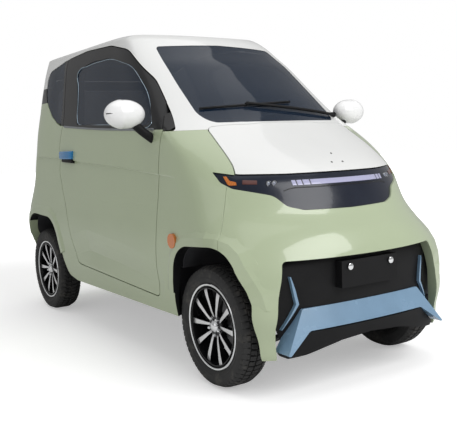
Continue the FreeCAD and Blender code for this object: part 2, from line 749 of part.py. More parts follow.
def tyre():
    """Tyre with bulging sidewalls, from its beads to its tread."""
    half = TYRE_WIDTH / 2
    edges = []
    for side in (-1, 1):
        bead = vec(side * 53.5, 0, 184)
        bulge = vec(side * half, 0, 215)
        shoulder = vec(side * (half - 9), 0, 246)
        tread = vec(side * (half - 25), 0, TYRE_RADIUS)
        foot = vec(side * 50, 0, 168.6)
        edges.append([
            Part.LineSegment(foot, bead).toShape(), Part.Arc(bead, bulge, shoulder).toShape(),
            Part.LineSegment(shoulder, tread).toShape(),
        ])
    top = Part.LineSegment(vec(25 - half, 0, TYRE_RADIUS), vec(half - 25, 0, TYRE_RADIUS)).toShape()
    bore = Part.LineSegment(vec(-50, 0, 168.6), vec(50, 0, 168.6)).toShape()
    wire = Part.Wire([bore] + edges[1] + [top] + edges[0][::-1])
    return Part.Face(wire).revolve(vec(0, 0, 0), vec(1, 0, 0), 360)


def rim():
    barrel = wheel_profile([
        (-61, RIM_RADIUS, 2), (-55, RIM_RADIUS, 2), (-53, 168, 3), (53, 168, 3), (55, RIM_RADIUS, 2),
        (61, RIM_RADIUS, 2), (60, 162, 4), (-60, 162, 4),
    ])
    hub = Part.makeCylinder(48, 26, vec(12, 0, 0), vec(1, 0, 0))
    cap = Part.makeCylinder(27, 12, vec(34, 0, 0), vec(1, 0, 0))
    spokes = []
    for i in range(5):
        for side in (-1, 1):
            inner_angle = math.radians(72 * i + side * 12)
            outer_angle = math.radians(72 * i + side * 19)
            start = vec(0, 40 * math.sin(inner_angle), 40 * math.cos(inner_angle))
            end = vec(0, 164 * math.sin(outer_angle), 164 * math.cos(outer_angle))
            spokes.append(spoke(start, end))
    return fused([barrel, hub, cap] + spokes)


def spoke(start, end):
    along = end.sub(start)
    along.normalize()
    across = vec(0, -along.z, along.y)
    corners = [start + across * 9, end + across * 13, end - across * 13, start - across * 9]
    near = [vec(20, p.y, p.z) for p in corners]
    face = Part.Face(Part.makePolygon(near + [near[0]]))
    return face.extrude(vec(20, 0, 0))


def placed_wheel(shape, side, y):
    placed = shape.copy() if side > 0 else mirrored(shape)
    placed.translate(vec(side * WHEEL_CENTRE_X, y, TYRE_RADIUS))
    return placed


# Fittings


def mirror_unit():
    """Rounded mirror housing on a stalk from the door."""
    ball = Part.makeSphere(1)
    stretch = FreeCAD.Matrix()
    stretch.scale(98, 62, 65)
    housing = ball.transformGeometry(stretch)
    housing.translate(vec(672, at(452), 1170))
    stalk = tube(vec(530, at(438), 1046), vec(636, at(447), 1136), 21)
    return fused([housing, biggest(stalk.cut(OUTER))])


def door_handle():
    grip = box(545, 575, at(1398), at(1588), 942, 1013)
    grip = grip.makeFillet(8, grip.Edges)
    return biggest(grip.cut(OUTER))


def rod(points, radius):
    """Round rod along a smooth curve through points."""
    curve = Part.BSplineCurve()
    curve.interpolate(points)
    path = Part.Wire([curve.toShape()])
    start = Part.Circle(points[0], curve.tangent(curve.FirstParameter)[0], radius)
    return path.makePipeShell([Part.Wire([start.toShape()])], True, True)


def over_glass(x, z, height):
    """Place on the windscreen's side, some height off the body."""
    return vec(x, front_y(x, z) - height, z)


def wiper():
    """One arm from its pivot on the cowl, with a blade along the foot of the windscreen."""
    pivot = tube(over_glass(395, 1146, 26), over_glass(395, 1146, -12), 13)
    arm = [over_glass(395 - 107 * i, 1146 + 12 * i, 20) for i in range(6)]
    blade = [over_glass(126 - 82 * i, 1212 - 4.5 * i, 8) for i in range(7)]
    clip = tube(over_glass(-140, 1206, 22), over_glass(-140, 1196, 6), 9)
    pieces = [rod(arm, 7), rod(blade, 5), clip]
    outside = [biggest(piece.cut(OUTER)) for piece in (pivot,)]
    return fused(outside + pieces)


def side_marker():
    ray = Part.makeLine(vec(0, at(212), 609), vec(700, at(212), 609))
    x = ray.common(OUTER).BoundBox.XMax
    return biggest(Part.makeCylinder(33, 20, vec(x - 8, at(212), 609), vec(1, 0, 0)).cut(OUTER))


def tail_lamps():
    return pair(layer(front_prism(TAIL_LAMP, at(1900), 1500, -0.5), 4, 36))


def dashboard():
    upper = box(-480, 480, at(371), at(560), 800, 1060)
    top_edges = [edge for edge in upper.Edges if edge.BoundBox.ZMin > 1059 and edge.BoundBox.YMin > at(559)]
    upper = upper.makeFillet(70, top_edges)
    hood = tube(vec(230, at(440), 1040), vec(230, at(575), 1040), 120).cut(box(0, 480, at(400), at(600), 900, 1041))
    upper = biggest(fused([upper, hood]).common(lower_body(WALL + 20)))
    return biggest(upper.cut(tube(COLUMN_CENTRE.sub(COLUMN_AXIS * 400), COLUMN_CENTRE, 34)))


COLUMN_CENTRE = vec(230, at(760), 960)
COLUMN_AXIS = vec(0, 0.8821, 0.4711)


def steering_wheel():
    centre, axis = COLUMN_CENTRE, COLUMN_AXIS
    wheel = Part.makeTorus(178, 13, centre, axis)
    hub = Part.makeCylinder(50, 40, centre.sub(axis * 25), axis)
    column = tube(centre.sub(axis * 250), centre, 24)
    spokes = []
    side = vec(1, 0, 0)
    low = axis.cross(side)
    for direction in (side, side * -1, low * -1 if low.z > 0 else low):
        spokes.append(tube(centre, centre + direction * 176, 10))
    return fused([wheel, hub, column] + spokes)


def cushion(x0, x1, y0, y1, z0, z1, radius):
    """Pad with rounded edges, measured from the front axle."""
    pad = box(x0, x1, at(y0), at(y1), z0, z1)
    return pad.makeFillet(radius, pad.Edges)


def seat():
    """Front seat: base, cushion, leaning back and headrest."""
    base = box(90, 440, at(820), at(1200), FLOOR_TOP, 440)
    pad = cushion(60, 470, 780, 1240, 430, 560, 35)
    back = cushion(75, 455, 1190, 1290, 520, 1060, 35)
    posts = [tube(vec(x, at(1240), 1050), vec(x, at(1240), 1100), 8) for x in (205, 325)]
    rest = cushion(150, 380, 1200, 1275, 1085, 1240, 30)
    leaning = fused([back, rest] + posts)
    leaning.rotate(vec(0, at(1240), 520), vec(-1, 0, 0), SEAT_LEAN)
    return fused([base, pad, leaning])


def rear_bench():
    pad = cushion(-370, 370, 1570, 1950, 540, 640, 35)
    base = box(-360, 360, at(1675), at(1940), LOAD_FLOOR_TOP, 550)
    return fused([pad, base])


def main():
    door, door_glass = doors()
    gate, gate_glass = tailgate()
    bar, headlamps, turns = lamps()
    mirror = mirror_unit()
    handle = door_handle()
    seat_shape = seat()
    side = side_panel()
    upright = knuckle()
    pieces = {
        "roof_shell": roof_shell(),
        "side_panel_left": side,
        "side_panel_right": mirrored(side),
        "front_bumper": front_bumper(),
        "rear_bumper": rear_bumper(),
        "bumper_panel": recess_panel(),
        "bumper_brightwork": Part.makeCompound([silver_band(), chevrons()]),
        "lower_lip": lower_lip(),
        "plate_bracket": plate_bracket(),
        "lamp_strip": lamp_strip(),
        "front_lamps": Part.makeCompound([bar, headlamps]),
        "amber_lamps": Part.makeCompound([turns, pair(side_marker())]),
        "fixed_glass": Part.makeCompound([windscreen(), pair(pane(side_prism(QUARTER, 300, 700, -1)))]),
        "black_panels": Part.makeCompound([sail_panel(), pillar_band(), door_post()]),
        "tail_lamps": tail_lamps(),
        "wheel_liners": wheel_liners(),
        "floor_pan": floor_pan(),
        "battery_block": battery(),
        "firewall": firewall(),
        "front_subframe": front_subframe(),
        "rear_axle": rear_axle(),
        "motor_block": motor(),
        "wiper": wiper(),
        "dashboard": dashboard(),
        "steering_wheel": steering_wheel(),
        "front_seats": pair(seat_shape),
        "rear_seat": rear_bench(),
        "bonnet": bonnet(),
        "door_left": door,
        "door_right": mirrored(door),
        "door_glass_left": door_glass,
        "door_glass_right": mirrored(door_glass),
        "mirror_left": mirror,
        "mirror_right": mirrored(mirror),
        "door_handle_left": handle,
        "door_handle_right": mirrored(handle),
        "tailgate": gate,
        "tailgate_glass": gate_glass,
        "knuckle_left": upright,
        "knuckle_right": mirrored(upright),
    }
    tyre_shape = tyre()
    rim_shape = rim()
    for end, y in (("front", AXLE_FRONT), ("rear", AXLE_REAR)):
        for side_name, sign in (("left", 1), ("right", -1)):
            pieces["tyre_" + end + "_" + side_name] = placed_wheel(tyre_shape, sign, y)
            pieces["rim_" + end + "_" + side_name] = placed_wheel(rim_shape, sign, y)
    for name, shape in pieces.items():
        save(shape, name)


main()
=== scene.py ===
"""Microcar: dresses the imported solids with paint, glass, rubber, trim and seats."""

import json
import math
from contextlib import contextmanager

import bmesh
import bpy
from bpy.props import FloatProperty, FloatVectorProperty, PointerProperty
from mathutils import Matrix, Vector
from mathutils.bvhtree import BVHTree


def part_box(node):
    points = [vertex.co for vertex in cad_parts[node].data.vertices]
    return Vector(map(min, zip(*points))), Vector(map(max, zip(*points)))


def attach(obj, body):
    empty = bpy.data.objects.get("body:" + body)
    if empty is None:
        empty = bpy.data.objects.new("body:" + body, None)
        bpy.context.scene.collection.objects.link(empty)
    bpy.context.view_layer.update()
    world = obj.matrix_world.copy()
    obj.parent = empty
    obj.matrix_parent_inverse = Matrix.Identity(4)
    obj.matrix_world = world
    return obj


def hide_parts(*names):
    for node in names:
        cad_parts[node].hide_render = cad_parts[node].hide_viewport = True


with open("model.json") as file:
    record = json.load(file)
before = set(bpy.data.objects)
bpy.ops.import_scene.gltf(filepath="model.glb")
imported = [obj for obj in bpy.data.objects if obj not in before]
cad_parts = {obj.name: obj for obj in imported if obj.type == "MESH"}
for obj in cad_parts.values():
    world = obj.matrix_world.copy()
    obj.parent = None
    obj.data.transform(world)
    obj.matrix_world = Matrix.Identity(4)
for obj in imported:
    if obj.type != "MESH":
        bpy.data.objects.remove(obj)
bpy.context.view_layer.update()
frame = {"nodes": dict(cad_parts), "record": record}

bl_info = {
    "name": "Microcar Finish",
    "version": (1, 0, 0),
    "blender": (4, 5, 0),
    "location": "View3D > Sidebar > Microcar",
    "description": "Dresses the microcar's solids with paint, glass, rubber, trim and seats",
    "category": "Object",
}

FRONT_AXLE_Y = sum(corner.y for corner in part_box("tyre_front_left")) / 2
REAR_AXLE_Y = sum(corner.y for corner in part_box("tyre_rear_left")) / 2
AXLE_HEIGHT = sum(corner.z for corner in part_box("tyre_front_left")) / 2
WHEEL_X = sum(corner.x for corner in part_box("tyre_front_left")) / 2
SIDES = (("left", 1), ("right", -1))


def behind(y):
    """Y of a place given in metres behind the front axle."""
    return FRONT_AXLE_Y + y


# Settings


class MicrocarSettings(bpy.types.PropertyGroup):
    """Sizes and colours that a user may change."""

    body_colour: FloatVectorProperty(
        name="Body paint", description="Colour of the lower body", subtype="COLOR",
        size=3, min=0, max=1, default=(0.41, 0.475, 0.315))
    roof_colour: FloatVectorProperty(
        name="Roof paint", description="Colour of the roof and bonnet", subtype="COLOR",
        size=3, min=0, max=1, default=(0.76, 0.765, 0.755))
    glass_tint: FloatVectorProperty(
        name="Glass tint", description="Colour of the tinted windows", subtype="COLOR",
        size=3, min=0, max=1, default=(0.010, 0.022, 0.045))
    lens_length: FloatProperty(
        name="Camera lens", description="Focal length of the camera on a 36 mm sensor",
        default=57.5, min=20, max=200, unit="CAMERA")


def settings():
    return bpy.context.scene.microcar


# Shader maths


class Value:
    """A shader socket that can stand in an arithmetic expression."""

    def __init__(self, shader, socket):
        self.shader = shader
        self.socket = socket

    def maths(self, operation, *others):
        inputs = dict(enumerate((self,) + others))
        return self.shader.add("Math", {"operation": operation}, inputs)

    def __add__(self, other):
        return self.maths("ADD", other)

    __radd__ = __add__

    def __mul__(self, other):
        return self.maths("MULTIPLY", other)

    __rmul__ = __mul__

    def __sub__(self, other):
        return self.maths("SUBTRACT", other)

    def __rsub__(self, other):
        return self * -1 + other

    def __truediv__(self, other):
        return self.maths("DIVIDE", other)

    def above(self, limit, soft):
        """0 below the limit and 1 above it, with a soft step."""
        return self.shader.add("MapRange", {"interpolation_type": "SMOOTHSTEP"}, {
            "Value": self, "From Min": limit - soft, "From Max": limit + soft})


class Shader:
    """One procedural material around a Principled BSDF."""

    def __init__(self, name, **constants):
        self.material = bpy.data.materials.new(name)
        self.material.use_nodes = True
        self.tree = self.material.node_tree
        self.surface = self.tree.nodes["Principled BSDF"]
        for key, value in constants.items():
            self.surface.inputs[key.replace("_", " ")].default_value = value
        self.coordinates = self.tree.nodes.new("ShaderNodeTexCoord")
        self.place = Value(self, self.coordinates.outputs["Object"])

    def add(self, kind, options=None, inputs=None, output=0):
        """Adds a node: its settings come first, then the values or links of its sockets."""
        node = self.tree.nodes.new("ShaderNode" + kind)
        for key, value in (options or {}).items():
            if key == "stops":
                ramp = node.color_ramp.elements
                while len(ramp) < len(value):
                    ramp.new(1)
                for element, (position, colour) in zip(ramp, value):
                    element.position = position
                    element.color = (*colour, 1)
            else:
                setattr(node, key, value)
        for key, value in (inputs or {}).items():
            self.link(value, node.inputs[key])
        return Value(self, node.outputs[output])

    def link(self, value, socket):
        if isinstance(value, Value):
            self.tree.links.new(value.socket, socket)
        elif isinstance(value, (tuple, list)) and len(value) == 3 and socket.type == "RGBA":
            socket.default_value = (*value, 1)
        else:
            socket.default_value = value

    def stretched(self, scale):
        return self.add("Mapping", None, {"Vector": self.place, "Scale": scale})

    def noise(self, scale, detail=3.0, rough=0.5, place=None):
        return self.add("TexNoise", None, {
            "Vector": place or self.place, "Scale": scale, "Detail": detail, "Roughness": rough})

    def bands(self, direction, scale, distortion):
        return self.add("TexWave", {"bands_direction": direction}, {
            "Vector": self.place, "Scale": scale, "Distortion": distortion})

    def mix(self, share, first, second):
        return self.add("Mix", {"data_type": "RGBA"}, {0: share, 6: first, 7: second}, 2)

    def part(self, axis, source="Object"):
        """One axis of the place on the object, or of its normal."""
        node = self.tree.nodes.new("ShaderNodeSeparateXYZ")
        self.tree.links.new(self.coordinates.outputs[source], node.inputs[0])
        return Value(self, node.outputs[axis])

    def set(self, name, value):
        self.link(value, self.surface.inputs[name])

    def bump(self, height, strength, distance=0.001):
        self.set("Normal", self.add("Bump", None, {
            "Height": height, "Strength": strength, "Distance": distance}))


FRAME_BLACK = (0.006, 0.006, 0.007)
BELT_HEIGHT = 1.0916
BELT_RISE = 0.0262


def above_belt(shader):
    """Where a door is its black window frame: above the belt line, which rises towards the back."""
    y = shader.part(1) - FRONT_AXLE_Y
    return (shader.part(2) - y * y * BELT_RISE).above(BELT_HEIGHT, 0.0012)


def in_wheel_arch(shader):
    """Where a panel's cut edge looks towards a wheel."""
    masks = []
    for axle_y in (FRONT_AXLE_Y, REAR_AXLE_Y):
        dy = shader.part(1) * -1 + axle_y
        dz = shader.part(2) * -1 + AXLE_HEIGHT
        away = (dy * dy + dz * dz).maths("SQRT")
        facing = (dy * shader.part(1, "Normal") + dz * shader.part(2, "Normal")) / away
        masks.append(facing.above(0.62, 0.04) * (1 - away.above(0.50, 0.02)))
    return masks[0] + masks[1]


def paint(name, colour, black=None):
    """Clear-coated car paint with faint flake, haze and dust towards the ground."""
    shader = Shader(name, IOR=1.45, Coat_Roughness=0.06, Specular_IOR_Level=0.4)
    haze = shader.noise(2.2, 4)
    flake = shader.noise(900, 1)
    dusty = tuple(0.86 * c + 0.14 * d for c, d in zip(colour, (0.30, 0.28, 0.22)))
    bright = tuple(min(1, c * 1.05) for c in colour)
    dark = tuple(c * 0.95 for c in colour)
    low = 1 - shader.part(2).above(0.36, 0.22)
    toned = shader.mix(haze, dark, bright)
    finish = shader.mix(low * haze, toned, dusty)
    coat = 0.70 - low * 0.3
    if black:
        share = black(shader)
        finish = shader.mix(share, finish, FRAME_BLACK)
        coat = coat * (1 - share * 0.85)
    shader.set("Base Color", finish)
    shader.set("Roughness", haze * 0.10 + low * 0.16 + 0.30)
    shader.set("Coat Weight", coat)
    shader.bump(flake * 0.2 + shader.noise(60, 2) * 0.8, 0.04, 0.0004)
    return shader.material


def plastic(name, colour, rough, grain, strength=0.2, coat=0.0, shine=0.4):
    """Moulded plastic with a fine grain and slightly rubbed tone."""
    shader = Shader(name, Coat_Roughness=0.05, Specular_IOR_Level=shine)
    rubbed = shader.noise(9, 4)
    grit = shader.noise(grain, 2)
    pale = tuple(min(1, c * 1.35 + 0.006) for c in colour)
    shader.set("Base Color", shader.mix(rubbed, colour, pale))
    shader.set("Roughness", rubbed * 0.12 + (rough - 0.06))
    shader.set("Coat Weight", coat)
    shader.bump(grit, strength, 0.0005)
    return shader.material


def metal(name, colour, rough, streak=(1, 1, 1), strength=0.05, metallic=1.0):
    """Bare or plated metal with fine tool marks and uneven sheen."""
    shader = Shader(name, Metallic=metallic)
    marks = shader.noise(260, 3, place=shader.stretched(streak))
    cloud = shader.noise(14, 3)
    dull = tuple(c * 0.82 for c in colour)
    shader.set("Base Color", shader.mix(cloud, dull, colour))
    shader.set("Roughness", marks * 0.10 + cloud * 0.06 + (rough - 0.08))
    shader.bump(marks, strength, 0.0003)
    return shader.material


def glass(name, tint, alpha, rough=0.03):
    """Tinted glass: a dark reflective skin that lets a share of the inside show through."""
    shader = Shader(name, IOR=1.45, Coat_Weight=0.1, Coat_Roughness=0.02, Specular_IOR_Level=0.35)
    film = shader.noise(3.0, 3)
    shader.set("Base Color", shader.mix(film, tint, tuple(c * 0.8 for c in tint)))
    shader.set("Roughness", film * 0.03 + rough)
    shader.set("Alpha", film * 0.05 + (alpha - 0.025))
    shader.bump(shader.noise(7, 1), 0.02, 0.001)
    return shader.material


def lens(name, colour, rough=0.12):
    """Lamp lens with vertical flutes under a polished skin."""
    shader = Shader(name, IOR=1.5, Coat_Weight=0.8, Coat_Roughness=0.03)
    flutes = shader.bands("X", 60, 0.4)
    shader.set("Base Color", shader.mix(flutes, colour, tuple(c * 0.6 for c in colour)))
    shader.set("Roughness", flutes * 0.08 + rough)
    shader.bump(flutes, 0.25, 0.0008)
    return shader.material


def rubber():
    """Dull tyre rubber with a fine grain and patches of dust."""
    shader = Shader("tyre rubber")
    dust = shader.noise(18, 5, 0.6)
    grit = shader.noise(700, 2)
    shader.set("Base Color", shader.mix(dust.above(0.62, 0.12), (0.017, 0.017, 0.017), (0.060, 0.056, 0.050)))
    shader.set("Roughness", dust * 0.2 + 0.62)
    shader.bump(grit, 0.35, 0.0006)
    return shader.material


def cloth():
    """Woven seat cloth with a two-way weave and a faint fleck."""
    shader = Shader("seat cloth", Sheen_Weight=0.35, Sheen_Roughness=0.4)
    warp = shader.bands("X", 260, 0.3)
    weft = shader.bands("Z", 260, 0.3)
    fleck = shader.noise(120, 2)
    shader.set("Base Color", shader.mix(fleck, (0.035, 0.036, 0.040), (0.10, 0.10, 0.11)))
    shader.set("Roughness", fleck * 0.1 + 0.82)
    shader.bump(warp * weft, 0.5, 0.0008)
    return shader.material


def make_materials():
    own = settings()
    green, white, tint = (tuple(own.body_colour), tuple(own.roof_colour), tuple(own.glass_tint))
    return {
        "green_paint": paint("sage green paint", green),
        "door_paint": paint("door paint with black window frame", green, above_belt),
        "panel_paint": paint("panel paint with black wheel arches", green, in_wheel_arch),
        "white_paint": paint("white paint", white),
        "gloss_black": plastic("gloss black plastic", (0.003, 0.003, 0.0035), 0.22, 300, 0.03, 0.15, 0.25),
        "black_plastic": plastic("grained black plastic", (0.005, 0.005, 0.0055), 0.50, 500, 0.2, 0.0, 0.15),
        "silver_trim": metal("silver plated trim", (0.42, 0.52, 0.60), 0.20, (1, 1, 6)),
        "tinted_glass": glass("tinted window glass", tint, 0.72),
        "clear_lens": lens("clear lamp lens", (0.62, 0.62, 0.80)),
        "amber_lens": lens("amber lens", (0.62, 0.17, 0.015)),
        "red_lens": lens("red lens", (0.42, 0.012, 0.012)),
        "tyre_rubber": rubber(),
        "bright_alloy": metal("bright alloy", (0.72, 0.73, 0.75), 0.24, (1, 4, 4)),
        "machined": metal("machined spoke face", (0.80, 0.80, 0.81), 0.28, (1, 9, 9), 0.08, 0.85),
        "chrome": metal("chrome plate", (0.86, 0.87, 0.88), 0.10, (1, 1, 1), 0.01),
        "mirror_glass": metal("mirror glass", (0.82, 0.84, 0.86), 0.09, (1, 1, 1), 0.0),
        "belt_grey": plastic("grey belt rubber", (0.16, 0.17, 0.18), 0.45, 300, 0.1),
        "steel_blue": plastic("steel blue trim paint", (0.15, 0.25, 0.36), 0.26, 300, 0.05, 0.6),
        "lamp_blue": plastic("dark blue grille plastic", (0.003, 0.006, 0.016), 0.22, 200, 0.05, 0.2, 0.3),
        "lamp_glow": lens("pale light bar", (0.50, 0.50, 0.72), 0.20),
        "projector": lens("projector lens", (0.25, 0.27, 0.34), 0.06),
        "red_brown": plastic("red-brown lamp insert", (0.07, 0.016, 0.012), 0.35, 200, 0.1, 0.4),
        "sticker": plastic("white sticker", (0.80, 0.80, 0.78), 0.5, 200, 0.02),
        "bare_steel": metal("bare steel", (0.36, 0.36, 0.37), 0.42, (8, 1, 1), 0.15),
        "chassis_black": plastic("satin chassis paint", (0.018, 0.018, 0.018), 0.45, 140, 0.25),
        "cast_grey": metal("cast alloy housing", (0.22, 0.22, 0.23), 0.60, (1, 1, 1), 0.4, 0.6),
        "grey_fabric": cloth(),
        "dark_trim": plastic("grained cabin trim", (0.022, 0.022, 0.025), 0.62, 420, 0.4),
        "white_plastic": plastic("white moulded plastic", (0.80, 0.80, 0.80), 0.22, 300, 0.02, 0.7),
        "blue_film": plastic("blue protective film", (0.006, 0.15, 0.36), 0.22, 60, 0.3, 0.5),
    }


MATERIALS = {}


def material(name):
    if not MATERIALS:
        MATERIALS.update(make_materials())
    return MATERIALS[name]


# Modelling by hand


def deselect():
    bpy.ops.object.select_all(action="DESELECT")


def chosen(piece):
    deselect()
    piece.select_set(True)
    bpy.context.view_layer.objects.active = piece


@contextmanager
def editing(piece):
    """Edit mode on one piece, with its mesh at hand for choosing what to select."""
    chosen(piece)
    bpy.ops.object.mode_set(mode="EDIT")
    mesh = bmesh.from_edit_mesh(piece.data)
    yield mesh
    bpy.ops.object.mode_set(mode="OBJECT")


def select_points(mesh, test):
    """Selects the points that pass a test, and the faces between them."""
    for part in (mesh.verts, mesh.edges, mesh.faces):
        for item in part:
            item.select = False
    for point in mesh.verts:
        point.select = test(point.co)
    mesh.select_flush_mode()


def block(name, low, high, rounding=0.0, segments=2):
    """Box between two corners with rounded edges."""
    deselect()
    low, high = Vector(low), Vector(high)
    bpy.ops.mesh.primitive_cube_add(size=1, location=(low + high) / 2)
    piece = bpy.context.object
    piece.name = name
    piece.scale = high - low
    bpy.ops.object.transform_apply(location=True, rotation=True, scale=True)
    if rounding:
        round_edges(piece, rounding, segments)
    return piece


def round_edges(piece, rounding, segments=2):
    bevel = piece.modifiers.new("rounding", "BEVEL")
    bevel.width = rounding
    bevel.segments = segments
    bevel.limit_method = "ANGLE"
    bevel.angle_limit = math.radians(30)
    chosen(piece)
    bpy.ops.object.modifier_apply(modifier=bevel.name)


def turned(name, points, steps=72):
    """Piece spun about the X axis from (offset, radius) points. A closed outline repeats its first point."""
    deselect()
    bpy.ops.mesh.primitive_plane_add(size=0.001, location=(0, 0, 0))
    piece = bpy.context.object
    piece.name = name
    with editing(piece):
        bpy.ops.mesh.select_all(action="SELECT")
        bpy.ops.mesh.merge(type="CENTER")
        bpy.ops.transform.translate(value=(points[0][0], 0, points[0][1]))
        for here, there in zip(points, points[1:]):
            step = (there[0] - here[0], 0, there[1] - here[1])
            bpy.ops.mesh.extrude_region_move(TRANSFORM_OT_translate={"value": step})
        bpy.ops.mesh.select_all(action="SELECT")
        bpy.ops.mesh.spin(steps=steps, angle=2 * math.pi, center=(0, 0, 0), axis=(1, 0, 0))
        bpy.ops.mesh.select_all(action="SELECT")
        bpy.ops.mesh.remove_doubles(threshold=0.00002)
        bpy.ops.mesh.normals_make_consistent(inside=False)
    return piece


def repeated(piece, count):
    """Repeats a piece evenly about the X axis."""
    with editing(piece):
        bpy.ops.mesh.select_all(action="SELECT")
        bpy.ops.mesh.spin(steps=count - 1, dupli=True, angle=2 * math.pi * (count - 1) / count,
                          center=(0, 0, 0), axis=(1, 0, 0))


def joined(pieces, name):
    deselect()
    for piece in pieces:
        piece.select_set(True)
    bpy.context.view_layer.objects.active = pieces[0]
    bpy.ops.object.join()
    pieces[0].name = name
    return pieces[0]


def moved(piece, shift):
    piece.data.transform(Matrix.Translation(shift))
    return piece


def copied(piece, name, shift=(0, 0, 0), flip=False):
    """Copy of a piece, moved, and mirrored first for the car's right side."""
    twin = piece.copy()
    twin.data = piece.data.copy()
    twin.name = name
    bpy.context.scene.collection.objects.link(twin)
    turn = Matrix.Diagonal((-1, 1, 1, 1)) if flip else Matrix.Identity(4)
    twin.data.transform(Matrix.Translation(shift) @ turn)
    if flip:
        twin.data.flip_normals()
    return twin


def tube_along(name, points, radius, resolution=3, cyclic=False):
    """Round wire on a smooth curve through points."""
    deselect()
    bpy.ops.curve.primitive_bezier_curve_add(location=(0, 0, 0))
    wire = bpy.context.object
    wire.name = name
    curve = wire.data
    curve.splines.clear()
    spline = curve.splines.new("BEZIER")
    spline.bezier_points.add(len(points) - 1)
    for knot, point in zip(spline.bezier_points, points):
        knot.co = point
        knot.handle_left_type = knot.handle_right_type = "AUTO"
    spline.use_cyclic_u = cyclic
    spline.resolution_u = 6
    curve.bevel_depth = radius
    curve.bevel_resolution = resolution
    curve.use_fill_caps = not cyclic
    chosen(wire)
    bpy.ops.object.convert(target="MESH")
    return bpy.context.object


def fit(piece, body, slot, finish=None, replaces=(), angle=35):
    """Shades a piece, gives it its finish and hangs it on its body."""
    chosen(piece)
    bpy.ops.object.transform_apply(location=True, rotation=True, scale=True)
    bpy.ops.object.shade_smooth_by_angle(angle=math.radians(angle))
    if not piece.data.materials:
        piece.data.materials.append(material(finish or slot))
    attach(piece, body)
    if replaces:
        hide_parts(*replaces)
    return piece


SKINS = {}


def skin(nodes, start, direction):
    """Where a straight line from outside first meets one of the named panels."""
    hits = []
    for node in nodes.split():
        if node not in SKINS:
            mesh = frame["nodes"][node].data
            corners = [point.co for point in mesh.vertices]
            SKINS[node] = BVHTree.FromPolygons(corners, [face.vertices for face in mesh.polygons])
        place, normal, index, distance = SKINS[node].ray_cast(Vector(start), Vector(direction))
        if place is not None:
            hits.append((distance, place))
    if not hits:
        raise RuntimeError("no skin of " + nodes + " at " + str(start))
    return min(hits, key=lambda hit: hit[0])[1]


def on_side(nodes, y, z, proud=0.0):
    """Place on the car's left side, y behind the front axle."""
    return skin(nodes, (1.2, behind(y), z), (-1, 0, 0)) + Vector((proud, 0, 0))


def on_front(nodes, x, z, proud=0.0):
    return skin(nodes, (x, -2.5, z), (0, 1, 0)) + Vector((0, -proud, 0))


def on_top(nodes, x, y, proud=0.0):
    return skin(nodes, (x, behind(y), 3), (0, 0, -1)) + Vector((0, 0, proud))


# Wheels


